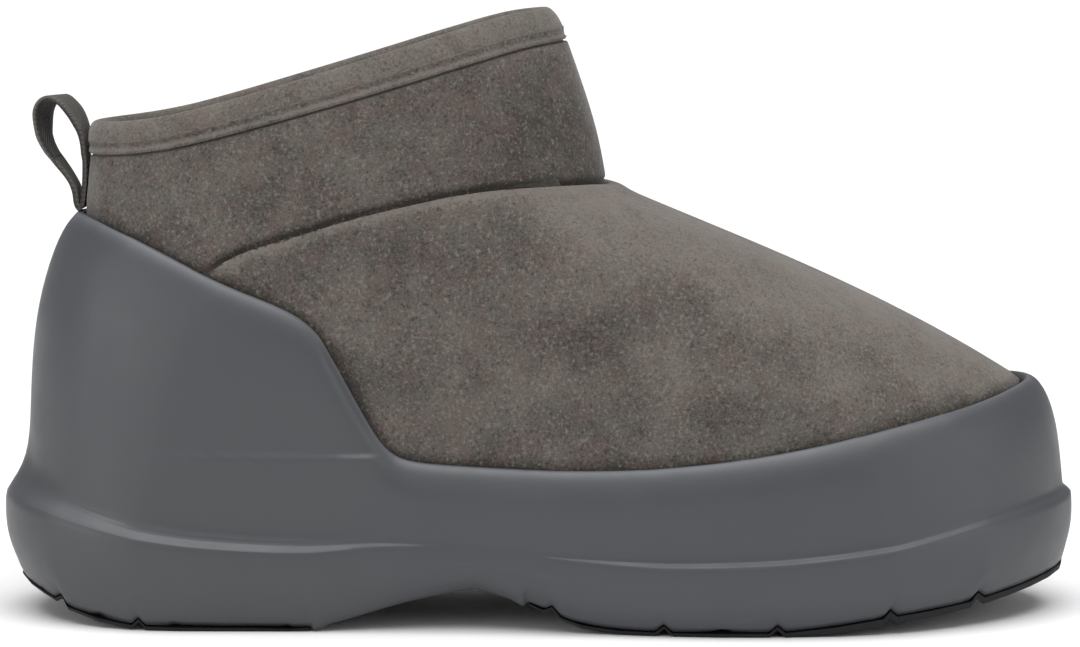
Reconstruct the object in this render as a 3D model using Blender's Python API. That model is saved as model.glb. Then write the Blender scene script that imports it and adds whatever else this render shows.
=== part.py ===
# Apres ski boot: soft low boot in a one-piece moulded cup sole with a high heel counter
# One right boot in metres, +X toward the toe, +Y toward the wearer's left, +Z up, standing on z = 0
import math

import bmesh
import bpy
import numpy as np

# Sole outline and heights
SOLE_LENGTH = 0.300
SOLE_WIDTH = 0.104
RAND_HEIGHT = 0.0445
TOE_RAND_HEIGHT = 0.0648
COUNTER_HEIGHT = 0.1112
LEDGE_HEIGHT = 0.0195
ARCH_RISE = 0.0115
TOE_SPRING = 0.0112
HEEL_LIFT = 0.0100
FOOTBED_HEIGHT = 0.0210

# Upper heights and walls
COLLAR_FRONT_HEIGHT = 0.1685
COLLAR_BACK_HEIGHT = 0.1370
SEAM_FRONT_HEIGHT = 0.1195
ANKLE_WIDTH = 0.076
WALL = 0.0030
SEAM_STEP = 0.0012
BAND_HEIGHT = 0.0100
BAND_WALL = 0.0015
BAND_STEP = 0.0009
BAND_TURN = 0.0090
INSOLE_THICKNESS = 0.0050

# Outsole pods and the grooves across them
POD_THICKNESS = 0.0018
TOE_POD_EXTRA = 0.0013
GROOVE_DEPTH = 0.0020
GROOVE_WIDTH = 0.0046

# Pull loop
LOOP_HEIGHT = 0.0300
LOOP_LENGTH = 0.0105
LOOP_WIDTH = 0.0100
LOOP_WALL = 0.0012
LOOP_TWIST = 14.0

# Air left between neighbouring pieces
GAP = 0.0003

# Columns: along in shares of the sole length; outer and inner half widths in shares of the sole width
PLAN = (
    # along, outer, inner
    (-0.50, 0.395, 0.395),
    (-0.38, 0.405, 0.400),
    (-0.25, 0.408, 0.385),
    (-0.08, 0.412, 0.362),
    (0.06, 0.462, 0.425),
    (0.18, 0.497, 0.487),
    (0.27, 0.500, 0.500),
    (0.38, 0.470, 0.482),
    (0.50, 0.400, 0.440),
)

# Columns: along; share of the ledge height; shelf rise, shelf width, tuck and wall bulge in metres
SIDE = (
    # along, ledge, rise, shelf, tuck, bulge
    (-0.50, 1.72, 0.0092, 0.0070, 0.0048, 0.0032),
    (-0.46, 1.63, 0.0055, 0.0058, 0.0050, 0.0030),
    (-0.42, 1.49, 0.0038, 0.0044, 0.0050, 0.0024),
    (-0.36, 1.31, 0.0023, 0.0036, 0.0045, 0.0018),
    (-0.30, 1.20, 0.0021, 0.0034, 0.0045, 0.0014),
    (-0.22, 1.14, 0.0022, 0.0030, 0.0045, 0.0010),
    (-0.13, 1.24, 0.0010, 0.0012, 0.0055, 0.0003),
    (-0.06, 1.23, 0.0006, 0.0005, 0.0065, 0.0002),
    (0.02, 1.08, 0.0008, 0.0009, 0.0058, 0.0003),
    (0.12, 1.00, 0.0012, 0.0018, 0.0050, 0.0003),
    (0.22, 1.06, 0.0012, 0.0019, 0.0050, 0.0003),
    (0.32, 1.23, 0.0012, 0.0020, 0.0050, 0.0005),
    (0.42, 1.53, 0.0014, 0.0023, 0.0046, 0.0007),
    (0.50, 1.67, 0.0020, 0.0028, 0.0028, 0.0009),
)

# Underside: along, with shares of the heel lift, the arch rise and the toe spring
GROUND = (
    # along, heel, arch, toe
    (-0.50, 1.00, 0.00, 0.00),
    (-0.46, 0.64, 0.00, 0.00),
    (-0.42, 0.23, 0.00, 0.00),
    (-0.36, 0.02, 0.00, 0.00),
    (-0.31, 0.00, 0.00, 0.00),
    (-0.22, 0.00, 0.00, 0.00),
    (-0.18, 0.00, 0.24, 0.00),
    (-0.125, 0.00, 0.66, 0.00),
    (-0.06, 0.00, 1.00, 0.00),
    (-0.02, 0.00, 0.68, 0.00),
    (0.055, 0.00, 0.04, 0.00),
    (0.12, 0.00, 0.00, 0.00),
    (0.22, 0.00, 0.00, 0.00),
    (0.32, 0.00, 0.00, 0.24),
    (0.42, 0.00, 0.00, 0.58),
    (0.50, 0.00, 0.00, 1.00),
)

# Top edge of the cup: along, shares of the rise to the counter and to the toe, and in metres the lip's width
# and the wall's thickness just below it
LIP = (
    # along, counter, toe, lip, shoulder
    (-0.46, 1.00, 0.00, 0.0034, 0.0080),
    (-0.42, 1.00, 0.00, 0.0033, 0.0078),
    (-0.38, 0.945, 0.00, 0.0032, 0.0070),
    (-0.34, 0.87, 0.00, 0.0032, 0.0062),
    (-0.30, 0.782, 0.00, 0.0032, 0.0055),
    (-0.26, 0.705, 0.00, 0.0033, 0.0056),
    (-0.222, 0.64, 0.00, 0.0033, 0.0056),
    (-0.203, 0.575, 0.00, 0.0033, 0.0056),
    (-0.187, 0.46, 0.00, 0.0033, 0.0056),
    (-0.169, 0.307, 0.00, 0.0033, 0.0056),
    (-0.151, 0.16, 0.00, 0.0033, 0.0056),
    (-0.137, 0.065, 0.00, 0.0033, 0.0056),
    (-0.123, 0.030, 0.00, 0.0033, 0.0056),
    (-0.08, 0.015, 0.00, 0.0033, 0.0056),
    (0.00, 0.00, 0.00, 0.0033, 0.0057),
    (0.06, 0.00, 0.01, 0.0033, 0.0057),
    (0.142, 0.00, 0.10, 0.0034, 0.0057),
    (0.232, 0.00, 0.30, 0.0036, 0.0060),
    (0.322, 0.00, 0.58, 0.0040, 0.0062),
    (0.404, 0.00, 0.82, 0.0044, 0.0064),
    (0.442, 0.00, 0.96, 0.0044, 0.0060),
    (0.470, 0.00, 1.00, 0.0045, 0.0060),
)

# Footbed: along, share of the footbed height
FOOTBED = (
    # along, height
    (-0.50, 1.42),
    (-0.30, 1.33),
    (-0.05, 1.20),
    (0.20, 1.00),
    (0.35, 1.10),
    (0.50, 1.38),
)

# Foot rings: back and front in shares of the sole length, width as a share of the outline's
FOOT_RINGS = (
    # name, back, front, width
    ("feather", -0.446, 0.432, 0.790),
    ("rand", -0.459, 0.4495, 0.850),
)

# Ankle rings: back and front in shares of the sole length, width in shares of the ankle width
ANKLE_RINGS = (
    # climb from the seam to the band's edge, back, front, width
    (0.00, -0.443, 0.0655, 1.000),
    (0.35, -0.428, 0.0555, 0.985),
    (0.70, -0.4205, 0.0410, 0.965),
    (1.00, -0.4165, 0.0255, 0.945),
    (1.22, -0.4135, 0.0065, 0.915),
)

# Seam between vamp and shaft: along, share of the seam's front height
SEAM = (
    # along, height
    (-0.45, 0.700),
    (-0.38, 0.712),
    (-0.33, 0.748),
    (-0.30, 0.806),
    (-0.282, 0.843),
    (-0.259, 0.868),
    (-0.213, 0.903),
    (-0.169, 0.937),
    (-0.124, 0.964),
    (-0.080, 0.986),
    (-0.036, 0.999),
    (0.018, 1.003),
    (0.046, 1.002),
    (0.061, 0.998),
)

# Collar rim: along, share of the rise from its back to its front
RIM = (
    # along, rise
    (-0.412, 0.00),
    (-0.382, 0.020),
    (-0.343, 0.070),
    (-0.300, 0.170),
    (-0.227, 0.370),
    (-0.144, 0.610),
    (-0.084, 0.790),
    (-0.023, 0.955),
    (0.006, 1.00),
)

# How upright each column leaves the rand, and how far its top turns inward, by its share of the way to the toe
CROWN = (
    # way, stand, turn
    (0.00, 0.10, 0.00),
    (0.30, 0.20, 0.00),
    (0.45, 0.40, 0.06),
    (0.60, 0.52, 0.20),
    (0.75, 0.42, 0.26),
    (0.88, 0.26, 0.16),
    (1.00, 0.13, 0.00),
)

# Places along the sole, in shares of its length
HEEL_GROOVES = (-0.447, -0.366)
FRONT_GROOVES = (0.008, 0.109, 0.213, 0.319, 0.406)
HEEL_POD_END = -0.207
FRONT_POD_START = -0.014
PLAIN_COLUMNS = (
    -0.4965, -0.485, -0.470, -0.407, -0.330, -0.300, -0.260, -0.226,
    -0.186, -0.168, -0.151, -0.135, -0.100, -0.060, 0.035, 0.068, 0.160, 0.266, 0.360,
    0.440, 0.463, 0.4815, 0.4955,
)

# Share of the way up the vamp, and up the shaft, for each row of the upper
VAMP_ROWS = (0.10, 0.22, 0.36, 0.50, 0.64, 0.78, 0.90)
SHAFT_ROWS = (0.30, 0.62)

# Middle line of the pull loop's strap: shares of its length backward and of its height, from its foot
LOOP = (
    # back, height
    (0.02, 0.046),
    (0.01, 0.200),
    (0.00, 0.420),
    (0.03, 0.600),
    (0.10, 0.730),
    (0.21, 0.840),
    (0.38, 0.940),
    (0.62, 1.000),
    (0.86, 0.965),
    (1.00, 0.870),
    (1.00, 0.750),
    (0.96, 0.650),
    (0.79, 0.530),
    (0.55, 0.400),
    (0.33, 0.285),
    (0.19, 0.165),
    (0.15, 0.060),
    (0.08, 0.000),
)

# Cross positions of the flat faces, as shares from the outer side to the inner side
ACROSS = (1.0 / 3.0, 2.0 / 3.0)


def column(table, index):
    return np.array([row[index] for row in table], float)


def curve(xs, ys, x):
    """Cubic through the given points that stays level between equal ones."""
    xs = np.asarray(xs, float)
    ys = np.asarray(ys, float)
    x = np.clip(np.asarray(x, float), xs[0], xs[-1])
    step = np.diff(xs)
    slope = np.diff(ys) / step
    tangent = np.zeros(len(xs))
    tangent[0] = slope[0]
    tangent[-1] = slope[-1]
    for i in range(1, len(xs) - 1):
        if slope[i - 1] * slope[i] > 0:
            w1 = 2.0 * step[i] + step[i - 1]
            w2 = step[i] + 2.0 * step[i - 1]
            tangent[i] = (w1 + w2) / (w1 / slope[i - 1] + w2 / slope[i])
    k = np.clip(np.searchsorted(xs, x, side="right") - 1, 0, len(xs) - 2)
    t = (x - xs[k]) / step[k]
    h = step[k]
    return (
        (1 + 2 * t) * (1 - t) ** 2 * ys[k]
        + t * (1 - t) ** 2 * h * tangent[k]
        + t * t * (3 - 2 * t) * ys[k + 1]
        + t * t * (t - 1) * h * tangent[k + 1]
    )


def along(table, index, x):
    return curve(column(table, 0) * SOLE_LENGTH, column(table, index), x)


def hermite(a, b, start, end, t):
    return (
        (1 + 2 * t) * (1 - t) ** 2 * a
        + t * (1 - t) ** 2 * start
        + t * t * (3 - 2 * t) * b
        + t * t * (t - 1) * end
    )


def ease(t):
    t = np.clip(t, 0.0, 1.0)
    return t * t * (3 - 2 * t)


def unit(v):
    return v / np.maximum(np.linalg.norm(v, axis=-1, keepdims=True), 1e-12)


def column_places():
    """Places of the column pairs along X, and which of them only the sole needs."""
    half = GROOVE_WIDTH / 2
    places = [(share * SOLE_LENGTH, True) for share in PLAIN_COLUMNS]
    for share in HEEL_GROOVES + FRONT_GROOVES:
        centre = share * SOLE_LENGTH
        places += [(centre - half, True), (centre, False), (centre + half, True)]
    for end, way in ((HEEL_POD_END, 1), (FRONT_POD_START, -1)):
        places += [(end * SOLE_LENGTH, True), (end * SOLE_LENGTH + way * 0.0012, False)]
    places.sort()
    return np.array([p[0] for p in places]), np.array([p[1] for p in places])


def half_width(x, index):
    """Half width of the sole outline at x, rounded off at heel and toe."""
    half = SOLE_LENGTH / 2
    width = along(PLAN, index, x) * SOLE_WIDTH
    heel = np.clip((-x - 0.62 * half) / (0.38 * half), 0.0, 1.0)
    toe = np.clip((x - 0.50 * half) / (0.50 * half), 0.0, 1.0)
    return width * np.sqrt(1 - heel ** 2.4) * np.sqrt(1 - toe ** 2.5)


def swing(x):
    """Sideways drift of the middle line toward the big toe."""
    return 0.040 * SOLE_WIDTH * ease((x / SOLE_LENGTH - 0.15) / 0.35)


def closed_ring(x, outer, inner, tip_y):
    """Points from the heel along the outer side to the toe and back along the inner side."""
    half = SOLE_LENGTH / 2
    heel = [[-half, 0.0]]
    toe = [[half, tip_y]]
    return np.array(heel + list(zip(x, outer)) + toe + list(zip(x[::-1], inner[::-1])))


def plan_ring(x):
    middle = swing(x)
    outer = middle - half_width(x, 1)
    inner = middle + half_width(x, 2)
    ring = closed_ring(x, outer, inner, float(swing(SOLE_LENGTH / 2)))
    ring[:, 1] -= 0.5 * (ring[:, 1].max() + ring[:, 1].min())
    ring[:, 1] *= SOLE_WIDTH / (ring[:, 1].max() - ring[:, 1].min())
    return ring


def outward(ring):
    """Horizontal directions that face out of a closed ring of points."""
    step = np.roll(ring, -1, axis=0) - np.roll(ring, 1, axis=0)
    step = unit(step[:, :2])
    return np.stack([step[:, 1], -step[:, 0]], axis=1)


def ground(x):
    return (
        along(GROUND, 1, x) * HEEL_LIFT
        + along(GROUND, 2, x) * ARCH_RISE
        + along(GROUND, 3, x) * TOE_SPRING
    )


def pod_thickness(x):
    """Rubber under the foam at x, none in the waist."""
    toe = TOE_POD_EXTRA * ease((x / SOLE_LENGTH - 0.18) / 0.14)
    on_heel = x <= HEEL_POD_END * SOLE_LENGTH + 1e-6
    on_front = x >= FRONT_POD_START * SOLE_LENGTH - 1e-6
    return np.where(on_heel | on_front, POD_THICKNESS + toe, 0.0)


def groove(x):
    """Height of the grooves across the sole at x."""
    depth = np.zeros(len(x))
    for share in HEEL_GROOVES + FRONT_GROOVES:
        depth[np.abs(x - share * SOLE_LENGTH) < 1e-6] = GROOVE_DEPTH
    return depth


def lip_height(x):
    rise = COUNTER_HEIGHT - RAND_HEIGHT
    toe = TOE_RAND_HEIGHT - RAND_HEIGHT
    return RAND_HEIGHT + along(LIP, 1, x) * rise + along(LIP, 2, x) * toe


def footbed(x):
    return along(FOOTBED, 1, x) * FOOTBED_HEIGHT


def with_height(plan, z):
    return np.column_stack([plan[:, 0], plan[:, 1], z])


def foot_ring(plan, name):
    """The sole outline drawn in to the named ring of the upper."""
    row = [r for r in FOOT_RINGS if r[0] == name][0]
    share = plan[:, 0] / SOLE_LENGTH + 0.5
    x = (row[1] + (row[2] - row[1]) * share) * SOLE_LENGTH
    return np.column_stack([x, plan[:, 1] * row[3]])


def ankle_ring(plan, climb):
    """Oval round the ankle, with the same columns gathered toward its front."""
    turn = np.arccos(np.clip(-plan[:, 0] / (SOLE_LENGTH / 2), -1.0, 1.0)) / math.pi
    turn = 1.635 * turn / (1 + 0.635 * turn) * math.pi
    back = curve(column(ANKLE_RINGS, 0), column(ANKLE_RINGS, 1), climb) * SOLE_LENGTH
    front = curve(column(ANKLE_RINGS, 0), column(ANKLE_RINGS, 2), climb) * SOLE_LENGTH
    half = curve(column(ANKLE_RINGS, 0), column(ANKLE_RINGS, 3), climb) * ANKLE_WIDTH / 2
    side = np.ones(len(plan))
    side[: len(plan) // 2 + 1] = -1.0
    x = (back + front) / 2 - (front - back) / 2 * np.cos(turn)
    y = side * half * np.sin(turn) ** 0.92
    return np.column_stack([x, y])


def seam_height(x):
    return along(SEAM, 1, x) * SEAM_FRONT_HEIGHT


def rim_height(x):
    rise = COLLAR_FRONT_HEIGHT - COLLAR_BACK_HEIGHT
    return COLLAR_BACK_HEIGHT + along(RIM, 1, x) * rise


def shaft_row(plan, climb):
    """Ring of the shaft: 0 at the seam, 1 at the band's edge, above 1 toward the rim."""
    ring = ankle_ring(plan, climb)
    seam = seam_height(ankle_ring(plan, 0.0)[:, 0])
    rim = rim_height(ankle_ring(plan, 1.22)[:, 0])
    band = rim - BAND_HEIGHT
    if climb <= 1.0:
        return with_height(ring, seam + (band - seam) * climb)
    return with_height(ring, band + (rim - band) * (climb - 1.0) / 0.22)


def way_round(plan):
    """Share of the way from heel to toe for each column, the same on both sides."""
    return np.arccos(np.clip(-plan[:, 0] / (SOLE_LENGTH / 2), -1.0, 1.0)) / math.pi


def rand_ring(plan):
    flat = foot_ring(plan, "rand")
    x = flat[:, 0]
    toe = along(LIP, 2, x) * (TOE_RAND_HEIGHT - RAND_HEIGHT)
    return with_height(flat, RAND_HEIGHT + toe)


def vamp_row(plan, share):
    """Ring of the vamp between the rand at 0 and the seam at 1."""
    low = rand_ring(plan)
    high = shaft_row(plan, 0.0)
    way = way_round(plan)
    stand = curve(column(CROWN, 0), column(CROWN, 1), way)[:, None]
    turn = curve(column(CROWN, 0), column(CROWN, 2), way)[:, None]
    chord = high - low
    length = np.linalg.norm(chord, axis=1, keepdims=True)
    up = np.array([0.0, 0.0, 1.0])
    inward = np.column_stack([-outward(high[:, :2]), np.zeros(len(plan))])
    start = chord * (1 - stand) + up * length * stand
    end = chord * (1 - turn) + inward * length * turn
    return hermite(low, high, start, end, share)


def upper_rows(plan):
    """The upper's outside as rows of rings, without the steps at seam and band."""
    feather = foot_ring(plan, "feather")
    feather = with_height(feather, footbed(feather[:, 0]))
    rand = rand_ring(plan)
    middle = 0.5 * (feather + rand)
    middle[:, :2] += outward(plan) * 0.0012
    rows = [feather, middle, rand]
    rows += [vamp_row(plan, share) for share in VAMP_ROWS]
    rows += [shaft_row(plan, 0.0)]
    rows += [shaft_row(plan, share) for share in SHAFT_ROWS]
    rows += [shaft_row(plan, 1.0), shaft_row(plan, 1.22)]
    return np.array(rows)


def row_normals(rows):
    round_step = np.roll(rows, -1, axis=1) - np.roll(rows, 1, axis=1)
    up_step = np.empty_like(rows)
    up_step[1:-1] = rows[2:] - rows[:-2]
    up_step[0] = rows[1] - rows[0]
    up_step[-1] = rows[-1] - rows[-2]
    return unit(np.cross(round_step, up_step))


SEAM_ROW = 3 + len(VAMP_ROWS)
BAND_ROW = SEAM_ROW + 1 + len(SHAFT_ROWS)


def wall_under_band(rows, normals, share):
    """Ring on the smooth outside under the band: near its edge, or just below the fold at the rim if share is None."""
    line = rows[BAND_ROW] - rows[BAND_ROW + 1]
    reach = np.linalg.norm(line, axis=1, keepdims=True)
    depth = reach * share - GAP if share else 0 * reach + BAND_WALL + GAP
    normal = normals[BAND_ROW + 1] * (1 - depth / reach) + normals[BAND_ROW] * depth / reach
    return rows[BAND_ROW + 1] + line / reach * depth, unit(normal)


def outside_of_upper(plan):
    """Rows of the outside with the steps, and a matching normal for each point."""
    rows = upper_rows(plan)
    normals = row_normals(rows)
    shown = ease((rows[SEAM_ROW][:, 0] / SOLE_LENGTH + 0.300) / 0.025)[:, None]
    outside = list(rows[: SEAM_ROW + 1])
    facing = list(normals[: SEAM_ROW + 1])
    step = rows[SEAM_ROW] + 0.03 * (rows[SEAM_ROW + 1] - rows[SEAM_ROW])
    outside.append(step - normals[SEAM_ROW] * SEAM_STEP * shown)
    facing.append(normals[SEAM_ROW])
    for k in range(SEAM_ROW + 1, BAND_ROW):
        outside.append(rows[k] - normals[k] * SEAM_STEP * 0.35 * shown)
        facing.append(normals[k])
    outside.append(rows[BAND_ROW])
    facing.append(normals[BAND_ROW])
    for depth in (1.0, None):
        ring, normal = wall_under_band(rows, normals, depth)
        outside.append(ring - normal * BAND_STEP)
        facing.append(normal)
    return np.array(outside), np.array(facing)


def strip(faces, low, high):
    """Quads between two rings of vertex numbers of equal length, or between a full ring and a thinner one."""
    n = len(low)
    for i in range(n):
        j = (i + 1) % n
        corners = [low[i], low[j], high[j], high[i]]
        kept = []
        for c in corners:
            if c not in kept:
                kept.append(c)
        if len(kept) >= 3:
            faces.append(kept)


def thinning_strip(faces, full, thin, keep):
    """Faces between a full ring and the ring of only the kept columns."""
    places = [i for i, k in enumerate(keep) if k]
    for a in range(len(places)):
        b = (a + 1) % len(places)
        stop = places[b] if b else places[b] + len(full)
        run = [full[i % len(full)] for i in range(places[a], stop + 1)]
        faces.append(run + [thin[b], thin[a]])


def face_across(points, faces, ring_ids, up):
    """Closes a ring of paired columns with strips that run from side to side."""
    n = len(ring_ids)
    pairs = n // 2 - 1
    heel = ring_ids[0]
    toe = ring_ids[n // 2]
    rails = []
    for i in range(1, pairs + 1):
        a = ring_ids[i]
        b = ring_ids[n - i]
        rail = [a]
        for share in ACROSS:
            points.append(points[a] * (1 - share) + points[b] * share)
            rail.append(len(points) - 1)
        rail.append(b)
        rails.append(rail)
    made = []
    for k in range(len(rails[0]) - 1):
        made.append([heel, rails[0][k], rails[0][k + 1]])
        made.append([toe, rails[-1][k + 1], rails[-1][k]])
    for first, second in zip(rails, rails[1:]):
        for k in range(len(first) - 1):
            made.append([first[k], second[k], second[k + 1], first[k + 1]])
    faces += made if up else [f[::-1] for f in made]


def make_object(name, points, faces, material, smooth=True):
    mesh = bpy.data.meshes.new(name)
    mesh.from_pydata([tuple(p) for p in points], [], faces)
    body = bmesh.new()
    body.from_mesh(mesh)
    loose = [v for v in body.verts if not v.link_faces]
    bmesh.ops.delete(body, geom=loose, context="VERTS")
    bmesh.ops.recalc_face_normals(body, faces=body.faces)
    body.to_mesh(mesh)
    body.free()
    obj = bpy.data.objects.new(name, mesh)
    bpy.context.scene.collection.objects.link(obj)
    obj.data.materials.append(material)
    for face in obj.data.polygons:
        face.use_smooth = smooth
    return obj


def linear(value):
    value /= 255.0
    return value / 12.92 if value <= 0.04045 else ((value + 0.055) / 1.055) ** 2.4


def surface(name, rgb, roughness):
    """Plain non-metal surface of the given screen colour."""
    material = bpy.data.materials.new(name)
    material.use_nodes = True
    shader = material.node_tree.nodes["Principled BSDF"]
    colour = [linear(c) for c in rgb] + [1.0]
    shader.inputs["Base Color"].default_value = colour
    shader.inputs["Roughness"].default_value = roughness
    shader.inputs["Metallic"].default_value = 0.0
    return material


def sheath(ring, plan, inset, z):
    """The sole outline moved inward by the inset of each column, at the given heights."""
    flat = ring[:, :2] - outward(plan) * np.asarray(inset)[:, None]
    return with_height(flat, z)


def bottom_ring(plan):
    """Lower edge of the foam, above the rubber where there is any."""
    x = plan[:, 0]
    tuck = along(SIDE, 4, x)
    rubber = pod_thickness(x)
    lift = np.where(rubber > 0, rubber + GAP, 0.0) + groove(x)
    return sheath(plan, plan, tuck, ground(x) + lift)


def edge_of_cup(outside, facing):
    """Where each column of the upper's outside meets the cup's lip, and how many rows lie below."""
    rows, columns = outside.shape[:2]
    point = np.empty((columns, 3))
    normal = np.empty((columns, 3))
    below = np.empty(columns, int)
    for c in range(columns):
        height = outside[:, c, 2] - lip_height(outside[:, c, 0])
        k = int(np.argmax(height > 0))
        t = height[k - 1] / (height[k - 1] - height[k])
        point[c] = outside[k - 1, c] * (1 - t) + outside[k, c] * t
        normal[c] = unit(facing[k - 1, c] * (1 - t) + facing[k, c] * t)
        below[c] = k
    return point, normal, below


def outer_wall_rings(plan, outside, facing):
    """Rings of the cup's outside from its lower edge up to its lip."""
    x = plan[:, 0]
    out = np.column_stack([outward(plan), np.zeros(len(plan))])
    low = bottom_ring(plan)
    ledge_z = along(SIDE, 1, x) * LEDGE_HEIGHT
    tuck = along(SIDE, 4, x)
    zero = np.zeros(len(x))
    base = low[:, 2] - groove(x)
    reach = ledge_z - base
    edge, normal, _ = edge_of_cup(outside, facing)
    down = unit(outside[1] - outside[3])
    lip = along(LIP, 3, edge[:, 0])[:, None]
    thick = along(LIP, 4, edge[:, 0])[:, None]
    shelf = sheath(plan, plan, along(SIDE, 3, x), ledge_z + along(SIDE, 2, x))
    shoulder = edge + normal * thick + down * 0.0070
    rings = [low]
    rings.append(sheath(plan, plan, tuck * 0.30, base + reach * 0.30))
    rings.append(sheath(plan, plan, zero, base + reach * 0.66))
    rings.append(sheath(plan, plan, zero + 0.0004, ledge_z))
    rings.append(shelf)
    bulge = along(SIDE, 5, x)[:, None]
    for share in (0.25, 0.5, 0.75):
        ring = shelf * (1 - share) + shoulder * share
        rings.append(ring + out * bulge * 4 * share * (1 - share) * (0.35 + 1.3 * share))
    rings.append(shoulder)
    rings.append(edge + normal * (lip + GAP) + down * 0.0016)
    rings.append(edge + normal * (lip * 0.45 + GAP) - down * 0.0004)
    rings.append(edge + normal * GAP)
    return rings


def outward_flat(plan):
    return np.column_stack([outward(plan), np.zeros(len(plan))])


def midsole(plan, keep, material):
    """One-piece foam cup: bottom, stepped side, counter, lip, inner wall and footbed."""
    outside, facing = outside_of_upper(plan)
    kept = np.flatnonzero(keep)
    points = []
    faces = []
    rings = []
    outer = outer_wall_rings(plan, outside, facing)
    outer[-1] = outer[-1][kept]
    for ring in outer:
        rings.append(list(range(len(points), len(points) + len(ring))))
        points += list(ring)
    for low, high in zip(rings[:-1], rings[1:-1]):
        strip(faces, low, high)
    thinning_strip(faces, rings[-2], rings[-1], keep)
    face_across(points, faces, rings[0], False)
    below = edge_of_cup(outside, facing)[2]
    above = rings[-1]
    for k in range(int(below.max()) - 1, 0, -1):
        ring = []
        for place, c in enumerate(kept):
            if k < below[c]:
                points.append(outside[k, c] + facing[k, c] * GAP)
                ring.append(len(points) - 1)
            else:
                ring.append(above[place])
        strip(faces, ring, above)
        above = ring
    corner = outside[0] + outward_flat(plan) * GAP - np.array([0.0, 0.0, GAP])
    ring = []
    for c in kept:
        points.append(corner[c])
        ring.append(len(points) - 1)
    strip(faces, ring, above)
    face_across(points, faces, ring, True)
    return make_object("midsole", points, faces, material)


def inner_rows(plan):
    """Rows of the upper's lining side, a wall's thickness inside the smooth outside."""
    rows = upper_rows(plan)
    normals = row_normals(rows)
    picked = [2, 4, 6, 8, SEAM_ROW, SEAM_ROW + 2, BAND_ROW]
    inner = [rows[0] - outward_flat(plan) * WALL]
    inner += [rows[k] - normals[k] * WALL for k in picked]
    top, normal = wall_under_band(rows, normals, None)
    inner.append(top - normal * WALL)
    return inner


def upper(plan, keep, material):
    """Vamp and shaft as one hollow wall, open at the collar and underneath."""
    outside = outside_of_upper(plan)[0][:, keep]
    inside = [ring[keep] for ring in inner_rows(plan)]
    points = []
    faces = []
    rings = []
    for ring in list(outside) + inside[::-1]:
        rings.append(list(range(len(points), len(points) + len(ring))))
        points += list(ring)
    for low, high in zip(rings, rings[1:] + rings[:1]):
        strip(faces, low, high)
    return make_object("upper", points, faces, material)


def collar_band(plan, keep, material):
    """Strip folded over the rim, with a raised lower edge."""
    rows = upper_rows(plan)
    normals = row_normals(rows)
    low = rows[BAND_ROW][keep]
    high = rows[BAND_ROW + 1][keep]
    low_facing = normals[BAND_ROW][keep]
    high_facing = normals[BAND_ROW + 1][keep]
    reach = np.linalg.norm(low - high, axis=1, keepdims=True)
    down = (low - high) / reach
    near = GAP - BAND_STEP
    out = near + BAND_WALL
    back = -WALL - GAP
    hem = reach - 2 * GAP
    profile = (
        (near, hem),
        (out, hem),
        (out + 0.0003, hem - 0.0012),
        (out, hem - 0.0030),
        (out - 0.0001, 0.0030 + 0 * hem),
        (out - 0.0008, 0.0008 + 0 * hem),
        (-WALL / 2, 0 * hem),
        (back - BAND_WALL + 0.0008, 0.0008 + 0 * hem),
        (back - BAND_WALL, 0.0030 + 0 * hem),
        (back - BAND_WALL, BAND_TURN + 0 * hem),
        (back, BAND_TURN + 0 * hem),
        (back, BAND_WALL + 0 * hem),
        (near, BAND_WALL + 0 * hem),
    )
    points = []
    faces = []
    rings = []
    for offset, depth in profile:
        share = depth / reach
        facing = unit(high_facing * (1 - share) + low_facing * share)
        ring = high + down * depth + facing * offset
        rings.append(list(range(len(points), len(points) + len(ring))))
        points += list(ring)
    for first, second in zip(rings, rings[1:] + rings[:1]):
        strip(faces, first, second)
    return make_object("collar_band", points, faces, material)


def insole(plan, keep, material):
    """Loose pad on the footbed, inside the upper's wall."""
    base = inner_rows(plan)[0] - outward_flat(plan) * GAP
    lift = np.array([0.0, 0.0, INSOLE_THICKNESS])
    rings = []
    points = []
    faces = []
    for inset, rise in ((0.0, 0.0), (0.0, 0.75), (0.0012, 1.0)):
        ring = (base - outward_flat(plan) * inset + lift * rise)[keep]
        rings.append(list(range(len(points), len(points) + len(ring))))
        points += list(ring)
    for low, high in zip(rings, rings[1:]):
        strip(faces, low, high)
    face_across(points, faces, rings[0], False)
    face_across(points, faces, rings[-1], True)
    return make_object("insole", points, faces, material)


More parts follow.
